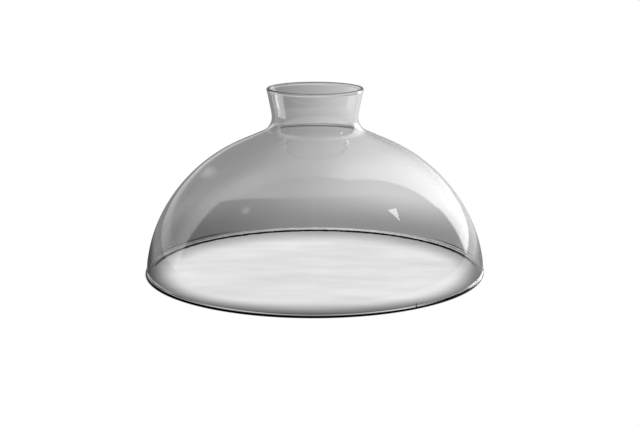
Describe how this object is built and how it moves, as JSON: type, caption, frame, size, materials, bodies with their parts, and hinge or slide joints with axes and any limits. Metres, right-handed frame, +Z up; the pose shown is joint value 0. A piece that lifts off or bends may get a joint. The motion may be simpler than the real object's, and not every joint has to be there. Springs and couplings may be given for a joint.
{
  "type": "glass cloche",
  "caption": "Low domed clear-glass garden cloche with a short flared open neck, a rounded lip and a thickened round foot.",
  "frame": {"origin": "centre of the foot's ground face, on the axis of the bell", "axes": "+Z up along the axis of the bell, towards the open neck; -Y to the front; +X to the right seen from the front"},
  "size_m": [0.32, 0.32, 0.173],
  "materials": {
    "clear_glass": "fire-polished, clear, neutral grey"
  },
  "bodies": {
    "root": {"foot_bead": "clear_glass", "dome_bell": "clear_glass", "neck_collar": "clear_glass", "lip_bead": "clear_glass"}
  },
  "joints": []
}
